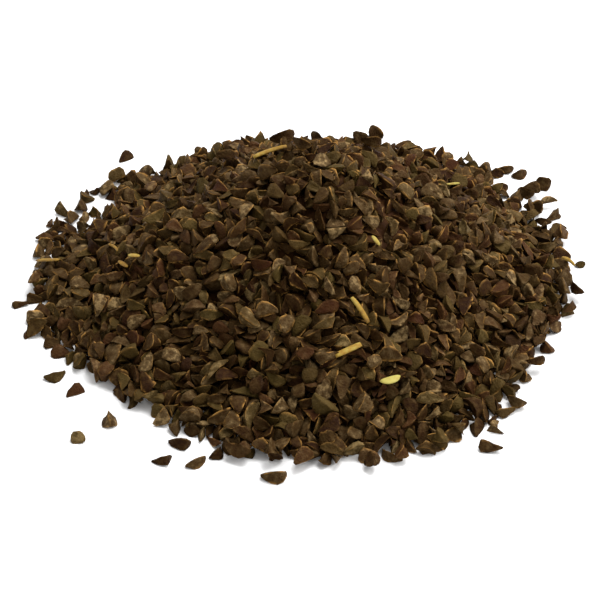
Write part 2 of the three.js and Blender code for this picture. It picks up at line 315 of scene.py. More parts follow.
def make_object(
    name: str,
    points: np.ndarray,
    quads: np.ndarray,
    triangles: np.ndarray,
    material: bpy.types.Material,
    attributes: dict[str, np.ndarray] | None = None,
) -> bpy.types.Object:
    """A smooth-shaded mesh object at the origin from whole arrays.

    Args:
        name: the piece's name.
        points: places in millimetres, shape (n, 3).
        quads: four point numbers a row.
        triangles: three point numbers a row.
        material: its finish.
        attributes: numbers per point, by name.

    Returns:
        The object, linked to the scene.
    """
    mesh = bpy.data.meshes.new(name)
    mesh.vertices.add(len(points))
    mesh.vertices.foreach_set("co", (points * METRE).astype(np.float32).ravel())
    loops = np.concatenate([quads.ravel(), triangles.ravel()]).astype(np.int32)
    mesh.loops.add(len(loops))
    mesh.loops.foreach_set("vertex_index", loops)
    totals = np.concatenate([np.full(len(quads), 4), np.full(len(triangles), 3)])
    starts = np.concatenate([[0], np.cumsum(totals)[:-1]]).astype(np.int32)
    mesh.polygons.add(len(totals))
    mesh.polygons.foreach_set("loop_start", starts)
    mesh.update(calc_edges=True)
    mesh.polygons.foreach_set("use_smooth", np.ones(len(totals), bool))
    for key, values in (attributes or {}).items():
        layer = mesh.attributes.new(key, "FLOAT", "POINT")
        layer.data.foreach_set("value", values.astype(np.float32))
    mesh.validate()
    mesh.materials.append(material)
    piece = bpy.data.objects.new(name, mesh)
    bpy.context.scene.collection.objects.link(piece)
    return piece


def make_tubes(
    name: str,
    tubes: np.ndarray,
    sides: int,
    material: bpy.types.Material,
    attributes: dict[str, np.ndarray],
) -> bpy.types.Object:
    """One piece of many closed tubes that have the same rings, riding on the heap's body.

    Args:
        name: the piece's name.
        tubes: points with shape (tube, point, 3), ring by ring, with the two end points last.
        sides: how many points a ring has.
        material: their finish.
        attributes: numbers per point, by name.

    Returns:
        The piece.
    """
    count, each = tubes.shape[:2]
    offset = (np.arange(count) * each)[:, None, None]
    quads, ends = (faces[None] + offset for faces in tube_faces(each // sides, sides))
    points, quads, ends = tubes.reshape(-1, 3), quads.reshape(-1, 4), ends.reshape(-1, 3)
    piece = make_object(name, points, quads, ends, material, attributes)
    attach(piece, BODY)
    LOG.info("%s: %d made, %d triangles", name, count, 2 * len(quads) + len(ends))
    return piece


def square(half: float) -> np.ndarray:
    """The four corners of a level square on the floor."""
    return np.array([[-half, -half, 0], [half, -half, 0], [half, half, 0], [-half, half, 0]])


# ---- Node helpers ----------------------------------------------------------------------------


class Shade:
    """A small builder for one material's nodes."""

    NOISE_LOW, NOISE_HIGH = 0.3, 0.7  # where most of a noise's values lie

    def __init__(self, name: str) -> None:
        """Starts a material with a single surface shader.

        Args:
            name: the material's name.
        """
        self.material = bpy.data.materials.new(name)
        self.material.use_nodes = True
        self.nodes = self.material.node_tree.nodes
        self.links = self.material.node_tree.links
        self.nodes.clear()
        output = self.nodes.new("ShaderNodeOutputMaterial")
        self.surface = self.nodes.new("ShaderNodeBsdfPrincipled")
        self.links.new(self.surface.outputs[0], output.inputs["Surface"])
        self.place = self.nodes.new("ShaderNodeTexCoord").outputs["Object"]

    def feed(self, target: Socket, value: Socket | float | tuple) -> None:
        """Gives an input a link, a colour or a number.

        Args:
            target: the input.
            value: another node's output, a colour, or a number.
        """
        if isinstance(value, Socket):
            self.links.new(value, target)
        else:
            target.default_value = (*value, 1) if isinstance(value, tuple) else value

    def attribute(self, name: str) -> Socket:
        """The number of that name stored on the mesh's points."""
        node = self.nodes.new("ShaderNodeAttribute")
        node.attribute_name = name
        return node.outputs["Fac"]

    def noise(self, cell: float, detail: float = 3.0, roughness: float = 0.55) -> Socket:
        """Cloudy noise with features of a given size.

        Args:
            cell: the size of a feature, in millimetres.
            detail: octaves of finer noise.
            roughness: how strong the finer octaves are.

        Returns:
            A value near 0.5.
        """
        node = self.nodes.new("ShaderNodeTexNoise")
        self.feed(node.inputs["Vector"], self.place)
        self.feed(node.inputs["Scale"], 1 / (cell * METRE))
        self.feed(node.inputs["Detail"], detail)
        self.feed(node.inputs["Roughness"], roughness)
        return node.outputs["Fac"]

    def cloud(self, cell: float, low: float = 0.0, high: float = 1.0) -> Socket:
        """Noise of a given size spread from low to high."""
        return self.between(self.noise(cell), self.NOISE_LOW, self.NOISE_HIGH, low, high)

    def net(self, cell: float) -> Socket:
        """The distance to the nearest thread of a net with cells of a given size."""
        node = self.nodes.new("ShaderNodeTexVoronoi")
        node.feature = "DISTANCE_TO_EDGE"
        self.feed(node.inputs["Vector"], self.place)
        self.feed(node.inputs["Scale"], 1 / (cell * METRE))
        return node.outputs["Distance"]

    def ramp(self, value: Socket, stops: dict[float, tuple]) -> Socket:
        """Colours along a value.

        Args:
            value: the driving value.
            stops: a colour for each of some places from 0 to 1.

        Returns:
            The colour.
        """
        node = self.nodes.new("ShaderNodeValToRGB")
        self.feed(node.inputs["Fac"], value)
        elements = node.color_ramp.elements
        while len(elements) < len(stops):
            elements.new(0.5)
        for element, (position, colour) in zip(elements, stops.items()):
            element.position = position
            element.color = (*colour, 1)
        return node.outputs["Color"]

    def between(
        self, value: Socket, low: float, high: float, to_low: float = 0.0, to_high: float = 1.0
    ) -> Socket:
        """A value moved from one range to another, and kept inside it.

        Args:
            value: the value.
            low: the start of its range.
            high: the end of its range.
            to_low: what the start becomes.
            to_high: what the end becomes.

        Returns:
            The moved value.
        """
        node = self.nodes.new("ShaderNodeMapRange")
        self.feed(node.inputs["Value"], value)
        self.feed(node.inputs["From Min"], low)
        self.feed(node.inputs["From Max"], high)
        self.feed(node.inputs["To Min"], to_low)
        self.feed(node.inputs["To Max"], to_high)
        return node.outputs["Result"]

    def maths(self, operation: str, first: Socket, second: Socket | float = 0.0) -> Socket:
        """One sum on two values.

        Args:
            operation: the kind of sum.
            first: the first value.
            second: the second value, or a number.

        Returns:
            The result.
        """
        node = self.nodes.new("ShaderNodeMath")
        node.operation = operation
        self.feed(node.inputs[0], first)
        self.feed(node.inputs[1], second)
        return node.outputs[0]

    def mix(
        self,
        share: Socket | float,
        first: Socket,
        second: Socket | tuple,
        blend: str = "MIX",
    ) -> Socket:
        """One colour over another.

        Args:
            share: how much of the second colour.
            first: the colour below.
            second: the colour above.
            blend: how the two are mixed.

        Returns:
            The mixed colour.
        """
        node = self.nodes.new("ShaderNodeMix")
        node.data_type = "RGBA"
        node.blend_type = blend
        sockets = {item.identifier: item for item in node.inputs}
        self.feed(sockets["Factor_Float"], share)
        self.feed(sockets["A_Color"], first)
        self.feed(sockets["B_Color"], second)
        return next(item for item in node.outputs if item.identifier == "Result_Color")

    def bump(self, height: Socket, depth: float, strength: float) -> None:
        """Fine relief on the surface.

        Args:
            height: the relief's height, from 0 to 1.
            depth: what a height of 1 stands for, in millimetres.
            strength: how much of it shows.
        """
        node = self.nodes.new("ShaderNodeBump")
        self.feed(node.inputs["Height"], height)
        self.feed(node.inputs["Distance"], depth * METRE)
        self.feed(node.inputs["Strength"], strength)
        self.feed(self.surface.inputs["Normal"], node.outputs[0])

    def done(self, colour: Socket, roughness: Socket | float, gloss: float) -> bpy.types.Material:
        """Finishes the material.

        Args:
            colour: the surface's colour.
            roughness: how rough it is.
            gloss: how strongly it reflects.

        Returns:
            The material.
        """
        self.feed(self.surface.inputs["Base Color"], colour)
        self.feed(self.surface.inputs["Roughness"], roughness)
        self.feed(self.surface.inputs["Specular IOR Level"], gloss)
        return self.material


# ---- Finishes --------------------------------------------------------------------------------


@dataclass(frozen=True)
class SeedCoat:
    """The seeds' dull netted skin: dark brown, some olive and some reddish, with worn tan ridges.

    Cells and depths are in millimetres. The tones' places are along the seed's tone; a seed whose
    hue is over olive_from turns olive, and one whose hue is under red_from turns red.
    """

    name: str = "seed_coat"
    darkest: tuple = (0.0200, 0.0062, 0.0007)
    dark: tuple = (0.0340, 0.0140, 0.0024)
    middle: tuple = (0.0570, 0.0300, 0.0082)
    light: tuple = (0.1040, 0.0640, 0.0255)
    tan: tuple = (0.2500, 0.1650, 0.0700)
    tone_places: tuple = (0.0, 0.22, 0.55, 0.85, 1.0)
    mottle_cell: float = 0.9
    mottle: float = 0.30
    olive: tuple = (0.0860, 0.0600, 0.0130)
    olive_from: float = 0.70
    olive_share: float = 0.55
    red: tuple = (0.0660, 0.0200, 0.0060)
    red_from: float = 0.24
    red_share: float = 0.50
    net_cell: float = 0.42
    net_edges: tuple = (0.02, 0.20)
    net_hollow: tuple = (0.60, 0.56, 0.50)
    net_share: float = 0.55
    worn: tuple = (0.5000, 0.2550, 0.0620)
    ridge_power: float = 2.5
    patch_cell: float = 1.1
    patch_detail: float = 2.0
    patch_edges: tuple = (0.40, 0.60)
    roughness: float = 0.68
    smoother: float = 0.12
    rougher: float = 0.14
    rough_cell: float = 0.4
    gloss: float = 0.07
    wrinkle_cell: float = 0.30
    wrinkle_detail: float = 2.5
    net_relief: float = 0.45
    relief_depth: float = 0.16
    relief_share: float = 0.8

    def dress(self) -> bpy.types.Material:
        """Makes the material, which reads tone, hue, wear and ridge from the mesh's points."""
        shade = Shade(self.name)
        mottle = shade.cloud(self.mottle_cell, -self.mottle, self.mottle)
        tone = shade.maths("ADD", shade.attribute("tone"), mottle)
        tones = (self.darkest, self.dark, self.middle, self.light, self.tan)
        colour = shade.ramp(tone, dict(zip(self.tone_places, tones)))
        hue = shade.attribute("hue")
        olive = shade.between(hue, self.olive_from, 1.0, 0.0, self.olive_share)
        colour = shade.mix(olive, colour, self.olive)
        red = shade.between(hue, self.red_from, 0.0, 0.0, self.red_share)
        colour = shade.mix(red, colour, self.red)

        net = shade.between(shade.net(self.net_cell), *self.net_edges)
        threads = shade.ramp(net, {0.0: (1, 1, 1), 1.0: self.net_hollow})
        colour = shade.mix(self.net_share, colour, threads, "MULTIPLY")

        ridge = shade.maths("POWER", shade.attribute("ridge"), self.ridge_power)
        patchy = shade.between(shade.noise(self.patch_cell, self.patch_detail), *self.patch_edges)
        wear = shade.maths("MULTIPLY", ridge, patchy)
        wear = shade.maths("MULTIPLY", wear, shade.attribute("wear"))
        colour = shade.mix(wear, colour, self.worn)

        wrinkles = shade.noise(self.wrinkle_cell, self.wrinkle_detail)
        relief = shade.maths("SUBTRACT", wrinkles, shade.maths("MULTIPLY", net, self.net_relief))
        shade.bump(relief, self.relief_depth, self.relief_share)
        smoothest, roughest = self.roughness - self.smoother, self.roughness + self.rougher
        return shade.done(colour, shade.cloud(self.rough_cell, smoothest, roughest), self.gloss)


@dataclass(frozen=True)
class CoreSeedsAndPaintedShade:
    """Dark seeds deeper in the heap, seen only through the gaps, darkened as painted shade."""

    name: str = "core_seeds_and_painted_shade"
    # Both browns are as dark as the darkest seeds: painted shade for seeds deep in shadow.
    dark: tuple = (0.0200, 0.0055, 0.0006)
    light: tuple = (0.0450, 0.0170, 0.0026)
    cell: float = 1.6
    roughness: float = 0.8
    gloss: float = 0.1
    relief_cell: float = 0.5
    relief_depth: float = 0.25
    relief_share: float = 0.7

    def dress(self) -> bpy.types.Material:
        """Makes the material: two browns of painted shade in a cloud, with a rough relief."""
        shade = Shade(self.name)
        shade.bump(shade.noise(self.relief_cell), self.relief_depth, self.relief_share)
        colour = shade.ramp(shade.cloud(self.cell), {0.0: self.dark, 1.0: self.light})
        return shade.done(colour, self.roughness, self.gloss)


@dataclass(frozen=True)
class DryStraw:
    """Golden straw and pale chaff, with fine fibres along it."""

    name: str = "dry_straw"
    deep: tuple = (0.120, 0.050, 0.005)
    golden: tuple = (0.300, 0.165, 0.013)
    pale: tuple = (0.430, 0.375, 0.085)
    cell: float = 0.8
    mottle: float = 0.20
    fibres: float = 24.0
    fibre_tone: float = 0.09
    fibre_depth: float = 0.03
    fibre_share: float = 0.5
    roughness: float = 0.55
    gloss: float = 0.3

    def dress(self) -> bpy.types.Material:
        """Makes the material, which reads tone and across from the mesh's points."""
        shade = Shade(self.name)
        across = shade.maths("MULTIPLY", shade.attribute("across"), self.fibres)
        fibre = shade.maths("SINE", across)
        shade.bump(fibre, self.fibre_depth, self.fibre_share)
        fine = shade.maths("MULTIPLY", fibre, self.fibre_tone)
        tone = shade.maths("ADD", shade.attribute("tone"), fine)
        tone = shade.maths("ADD", tone, shade.cloud(self.cell, -self.mottle, self.mottle))
        colour = shade.ramp(tone, {0.0: self.deep, 0.5: self.golden, 1.0: self.pale})
        return shade.done(colour, self.roughness, self.gloss)


@dataclass(frozen=True)
class WhiteSurface:
    """The plain white surface that the heap lies on."""

    name: str = "white_surface"
    dull: tuple = (0.92, 0.92, 0.92)
    bright: tuple = (0.94, 0.94, 0.94)
    cell: float = 60.0
    roughness: float = 0.9
    gloss: float = 0.5

    def dress(self) -> bpy.types.Material:
        """Makes the material: two whites in a broad cloud."""
        shade = Shade(self.name)
        colour = shade.ramp(shade.cloud(self.cell), {0.0: self.dull, 1.0: self.bright})
        return shade.done(colour, self.roughness, self.gloss)


# ---- Height maps -----------------------------------------------------------------------------


@dataclass
class HeightMap:
    """Heights over a square grid of the plan, as high as its edge outside."""

    half: float
    pitch: float
    height: np.ndarray

    BLUR_TAIL = 3  # how many standard deviations a blur reaches
    REST_SHARE = 85  # the percentage of a thing's points that must clear the map for it to rest

    @classmethod
    def blank(cls, half: float, pitch: float) -> "HeightMap":
        """A flat map at height 0."""
        count = int(round(2 * half / pitch)) + 1
        return cls(half, pitch, np.zeros((count, count)))

    def blurred(self, reach: float) -> "HeightMap":
        """The map after a Gaussian blur along both ways of the grid.

        Args:
            reach: the Gaussian's standard deviation.

        Returns:
            The blurred map.
        """
        steps = int(self.BLUR_TAIL * reach / self.pitch)
        weights = np.exp(-0.5 * (np.arange(-steps, steps + 1) * self.pitch / reach) ** 2)
        weights /= weights.sum()
        grid = self.height
        for axis in (0, 1):
            grid = np.apply_along_axis(np.convolve, axis, grid, weights, mode="same")
        return HeightMap(self.half, self.pitch, grid)

    def at(self, x: np.ndarray, y: np.ndarray) -> np.ndarray:
        """The height at places of the plan, between grid points.

        Args:
            x: places across.
            y: places along.

        Returns:
            The heights there.
        """
        just_inside = self.height.shape[0] - 1.001
        u = np.clip((x + self.half) / self.pitch, 0, just_inside)
        v = np.clip((y + self.half) / self.pitch, 0, just_inside)
        i, j = v.astype(int), u.astype(int)
        p, q = v - i, u - j
        near = self.height[i, j] * (1 - q) + self.height[i, j + 1] * q
        far = self.height[i + 1, j] * (1 - q) + self.height[i + 1, j + 1] * q
        return near * (1 - p) + far * p

    def rest(self, points: np.ndarray) -> np.ndarray:
        """How far things must rise until nearly all their points clear the map.

        Args:
            points: places, shape (..., point, 3).

        Returns:
            The rise of each thing, negative if it hangs over the map.
        """
        gap = self.at(points[..., 0], points[..., 1]) - points[..., 2]
        return np.percentile(gap, self.REST_SHARE, axis=-1)

    def top_of(self, points: np.ndarray) -> "HeightMap":
        """The map raised to the highest point over each grid place and its neighbours.

        Args:
            points: places, shape (n, 3).

        Returns:
            The raised map.
        """
        grid = self.height.copy()
        column, row = np.round((points[:, :2].T + self.half) / self.pitch).astype(int)
        inside = (row > 0) & (column > 0) & (row < grid.shape[0] - 1) & (column < grid.shape[1] - 1)
        for i in (-1, 0, 1):
            for j in (-1, 0, 1):
                np.maximum.at(grid, (row[inside] + i, column[inside] + j), points[inside, 2])
        return HeightMap(self.half, self.pitch, grid)


@dataclass
class HeapSkin:
    """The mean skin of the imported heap, read from the top of its solid."""

    pitch: float = 0.75
    margin: int = 4
    above: float = 100.0
    edge_blur: float = 0.8
    blur: float = 2.2
    least_share: float = 0.05
    mean: HeightMap = field(init=False)
    share: HeightMap = field(init=False)

    def __post_init__(self) -> None:
        """Casts straight rays down on the solid, and smooths what they meet.

        In words: the mean skin is the blurred height over the blurred share of the plan that the
        solid covers, inside its outline.
        """
        mesh = frame["nodes"][HEAP_NODE].data
        places = np.zeros(3 * len(mesh.vertices), np.float32)
        mesh.vertices.foreach_get("co", places)
        places = places.reshape(-1, 3) / METRE
        tree = BVHTree.FromPolygons(places.tolist(), [tuple(p.vertices) for p in mesh.polygons])
        half = math.ceil(np.abs(places[:, :2]).max() / self.pitch + self.margin) * self.pitch
        solid = HeightMap.blank(half, self.pitch)
        ticks = np.arange(solid.height.shape[0]) * self.pitch - half
        for row, y in enumerate(ticks):
            for column, x in enumerate(ticks):
                hit = tree.ray_cast((x, y, self.above), (0, 0, -1))[0]
                solid.height[row, column] = hit.z if hit else 0.0
        inside = HeightMap(half, self.pitch, (solid.height > 0).astype(float))
        self.share = inside.blurred(self.edge_blur)
        covered = np.maximum(inside.blurred(self.blur).height, self.least_share)
        mean = solid.blurred(self.blur).height / covered
        self.mean = HeightMap(half, self.pitch, mean * inside.height)
        LOG.info("skin: %.1f mm high at its middle", mean.max())


# ---- The core --------------------------------------------------------------------------------


@dataclass
class HeapCore:
    """The mass inside the heap, under the seeds that show."""

    skin: HeapSkin
    centre: tuple
    cover: float = 3.3
    thinnest: float = 0.3
    search: float = 60.0
    search_step: float = 0.25
    edge: float = 0.15
    spokes: int = 132
    rings: int = 56
    relief: float = 0.35
    ground_pitch: float = 2.5
    ground_rise: float = 0.9
    ground_least: float = 0.2
    ground_below: float = -0.5
    floor_half: float = 120.0
    seed: int = 5

    def radius(self, angle: np.ndarray) -> np.ndarray:
        """How far out the core reaches in each direction.

        In words: the first distance from the middle where the skin is no longer thicker than the
        cover.

        Args:
            angle: directions, in radians.

        Returns:
            The distances.
        """
        out = np.arange(0, self.search, self.search_step)
        x = self.centre[0] + out[None, :] * np.cos(angle)[:, None]
        y = self.centre[1] + out[None, :] * np.sin(angle)[:, None]
        thick = self.skin.mean.at(x, y) > self.cover + self.thinnest
        return out[np.argmin(thick, axis=1)]

    def top(self, x: np.ndarray, y: np.ndarray) -> np.ndarray:
        """The height of the core's top, 0 where there is none."""
        return np.maximum(self.skin.mean.at(x, y) - self.cover, 0)

    def build(self) -> bpy.types.Object:
        """Makes the core as a closed mesh: its top on rings and spokes, and a flat underside.

        In words: on each spoke the distance out is the ring's share of the core's radius, the
        height is the skin's less the cover, and every inner point is moved up or down by the
        relief.

        Returns:
            The core.
        """
        rng = np.random.default_rng(self.seed)
        angle = np.linspace(0, 2 * np.pi, self.spokes, endpoint=False)
        reach = self.radius(angle)
        share = np.linspace(0, 1, self.rings + 1)[1:]
        x = self.centre[0] + share[:, None] * (reach * np.cos(angle))[None, :]
        y = self.centre[1] + share[:, None] * (reach * np.sin(angle))[None, :]
        z = np.maximum(self.top(x, y) + rng.normal(0, self.relief, x.shape), self.edge)
        z[-1] = self.edge
        under = np.stack([x[-1], y[-1], np.zeros(self.spokes)], 1)
        middle = np.array([[*self.centre, float(z[0].mean())], [*self.centre, 0]])
        points = np.concatenate([np.stack([x, y, z], -1).reshape(-1, 3), under, middle])
        quads, ends = tube_faces(self.rings + 1, self.spokes)
        # From the crown the rings run outwards and then down, so every face turns the other way.
        quads, ends = quads[:, [0, 3, 2, 1]], ends[:, [0, 2, 1]]
        # The core's finish is painted shade: the browns of seeds deep in shadow.
        piece = make_object("heap_core", points, quads, ends, CoreSeedsAndPaintedShade().dress())
        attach(piece, BODY)
        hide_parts(HEAP_NODE)
        LOG.info("heap_core: reach %.1f to %.1f mm", reach.min(), reach.max())
        return piece

    def ground(self) -> list[bpy.types.Object]:
        """What the loose seeds fall on: a coarse sheet over the sunk seeds, and the floor.

        Returns:
            The two objects, in millimetres.
        """
        rng = np.random.default_rng(self.seed + 1)
        half = self.skin.mean.half
        ticks = np.arange(-half, half, self.ground_pitch)
        x, y = np.meshgrid(ticks, ticks)
        top = self.top(x, y)
        rough = top + self.ground_rise + rng.normal(0, self.relief, x.shape)
        z = np.where(top > self.ground_least, rough, self.ground_below)
        number = np.arange(x.size).reshape(x.shape)
        corners = [number[:-1, :-1], number[:-1, 1:], number[1:, 1:], number[1:, :-1]]
        squares = np.stack(corners, -1)[z[:-1, :-1] + z[1:, 1:] > 0]
        sheet = np.stack([x, y, z], -1).reshape(-1, 3)
        return [
            ground_copy("ground_core", sheet, squares.tolist()),
            ground_copy("ground_floor", square(self.floor_half), [[0, 1, 2, 3]]),
        ]


# ---- Seeds in space --------------------------------------------------------------------------


@dataclass
class SeedCloud:
    """Many seeds: the kind, variant, size, place, turn and colouring of each."""

    kind: np.ndarray
    variant: np.ndarray
    scale: np.ndarray
    place: np.ndarray
    turn: np.ndarray
    tone: np.ndarray
    hue: np.ndarray
    wear: np.ndarray

    def __len__(self) -> int:
        """How many seeds there are."""
        return len(self.kind)

    def only(self, keep: np.ndarray) -> "SeedCloud":
        """The seeds that a mask keeps."""
        return SeedCloud(*(getattr(self, item.name)[keep] for item in fields(self)))

    def plus(self, other: "SeedCloud") -> "SeedCloud":
        """These seeds and another cloud's."""
        pairs = ((getattr(self, item.name), getattr(other, item.name)) for item in fields(self))
        return SeedCloud(*(np.concatenate(pair) for pair in pairs))


def turns(heading: np.ndarray, tip: np.ndarray, roll: np.ndarray) -> np.ndarray:
    """Turning matrices: a roll about the seed's length, then a tip, then a heading in the plan.

    Args:
        heading: angles about the vertical, in radians.
        tip: angles about the level crossways line.
        roll: angles about the seed's own length.

    Returns:
        Matrices with shape (n, 3, 3).
    """
    ch, sh, ct, st, cr, sr = (f(a) for a in (heading, tip, roll) for f in (np.cos, np.sin))
    zero, one = np.zeros_like(ch), np.ones_like(ch)
    about_z = np.stack([ch, -sh, zero, sh, ch, zero, zero, zero, one], -1).reshape(-1, 3, 3)
    about_y = np.stack([ct, zero, st, zero, one, zero, -st, zero, ct], -1).reshape(-1, 3, 3)
    about_x = np.stack([one, zero, zero, zero, cr, -sr, zero, sr, cr], -1).reshape(-1, 3, 3)
    return about_z @ about_y @ about_x


@dataclass(frozen=True)
class ChosenSeed:
    """One seed that is listed and laid on its own.

    spot is the pixel of its middle in the photograph or, for a stray seed, the name of its solid.
    variant is one of its kind's shapes. heading and tip are in degrees, side is the face that it
    lies on, tone, hue and wear colour it, and rise lifts it from where it would rest.
    """

    spot: tuple | str
    kind: SeedKind
    variant: int
    heading: float
    length: float
    side: Side
    tip: float
    tone: float
    hue: float
    wear: float
    rise: float = 0.0


@dataclass(frozen=True)
class Bell:
    """Random numbers round a mean, none of them lower or higher than given."""

    mean: float
    spread: float
    low: float
    high: float

    def draw(self, rng: np.random.Generator, shape: int | tuple) -> np.ndarray:
        """Numbers of a given shape, drawn from a stream."""
        return np.clip(rng.normal(self.mean, self.spread, shape), self.low, self.high)


@dataclass
class SeedStock:
    """The shapes to draw seeds from, and the pieces made of them."""

    seed: int = 77
    size: Bell = Bell(0.98, 0.12, 0.65, 1.25)
    stretch: Bell = Bell(1, 0.07, 0.82, 1.18)
    tone: Bell = Bell(0.47, 0.21, 0.02, 0.88)
    wear: Bell = Bell(0.50, 0.42, 0.0, 1)
    pale_share: float = 0.02
    pale_tones: tuple = (0.82, 0.98)
    shapes: np.ndarray = field(init=False)
    coat: bpy.types.Material = field(init=False)

    def __post_init__(self) -> None:
        """Works out every variant of every kind, and their coat."""
        rng = np.random.default_rng(self.seed)
        self.shapes = np.stack([seed_variants(form, rng) for form in FORMS.values()])
        self.coat = SeedCoat().dress()

    def draw(self, place: np.ndarray, turn: np.ndarray, rng: np.random.Generator) -> SeedCloud:
        """Seeds of random kinds, sizes and colouring at given places.

        Args:
            place: places, shape (n, 3).
            turn: turning matrices.
            rng: the stream of random numbers.

        Returns:
            The seeds.
        """
        count = len(place)
        shares = np.array([form.share for form in FORMS.values()])
        size = self.size.draw(rng, count)
        tone = self.tone.draw(rng, count)
        pale = rng.random(count) < self.pale_share
        return SeedCloud(
            kind=rng.choice(len(FORMS), count, p=shares / shares.sum()),
            variant=rng.integers(VARIANTS, size=count),
            scale=size[:, None] * self.stretch.draw(rng, (count, 3)),
            place=place,
            turn=turn,
            tone=np.where(pale, rng.uniform(*self.pale_tones, count), tone),
            hue=rng.random(count),
            wear=self.wear.draw(rng, count),
        )

    def chosen(self, seeds: tuple[ChosenSeed, ...], place: np.ndarray) -> SeedCloud:
        """Seeds that are laid one by one, each on its side.

        Args:
            seeds: the seeds.
            place: where each goes, shape (n, 3).

        Returns:
            The seeds.
        """

        def column(name: str) -> np.ndarray:
            """One of the numbers of every seed."""
            return np.array([getattr(seed, name) for seed in seeds])

        kind = np.array([list(FORMS).index(seed.kind) for seed in seeds])
        variant = column("variant")
        size = column("length") / np.ptp(self.shapes[kind, variant][:, :, 0], axis=1)
        roll = np.array([self.side_roll(k, v, s.side) for k, v, s in zip(kind, variant, seeds)])
        return SeedCloud(
            kind=kind,
            variant=variant,
            scale=np.repeat(size[:, None], 3, axis=1),
            place=place,
            turn=turns(np.radians(column("heading")), np.radians(-column("tip")), roll),
            tone=column("tone"),
            hue=column("hue"),
            wear=column("wear"),
        )

    def points(self, cloud: SeedCloud) -> np.ndarray:
        """Every point of every seed of a cloud, with shape (seed, point, 3)."""
        base = self.shapes[cloud.kind, cloud.variant] * cloud.scale[:, None, :]
        return base @ cloud.turn.transpose(0, 2, 1) + cloud.place[:, None, :]

    def on_floor(self, cloud: SeedCloud) -> SeedCloud:
        """The cloud with every seed that reaches below the floor lifted onto it."""
        lift = -np.minimum(self.points(cloud)[:, :, 2].min(axis=1), 0)
        return replace(cloud, place=cloud.place + lift[:, None] * np.array([0, 0, 1.0]))

    def side_roll(self, kind: int, variant: int, side: Side) -> float:
        """The roll that lays a seed on one of its faces.

        In words: the face's outward direction is across the line between its two ridges at the
        seed's middle, and the roll turns it straight down.

        Args:
            kind: the kind's number.
            variant: the variant's number.
            side: the face that it lies on.

        Returns:
            The roll, in radians.
        """
        ridges = MIDDLE_RING * SIDES + np.arange(RIDGES + 1) % RIDGES * len(FACE_STEPS)
        pair = ridges[side.value : side.value + 2]
        start, end = self.shapes[kind, variant][pair, 1:]
        return -math.pi / 2 - math.atan2(start[0] - end[0], end[1] - start[1])

    def piece(self, name: str, cloud: SeedCloud) -> bpy.types.Object:
        """One dressed mesh of all the seeds of a cloud.

        Args:
            name: the piece's name.
            cloud: the seeds.

        Returns:
            The piece, with tone, hue, wear and ridge on its points.
        """
        places = self.points(cloud)
        count, each = places.shape[:2]
        attributes = {key: np.repeat(getattr(cloud, key), each) for key in ("tone", "hue", "wear")}
        attributes["ridge"] = np.tile(ridge_share(), count)
        return make_tubes(name, places, SIDES, self.coat, attributes)


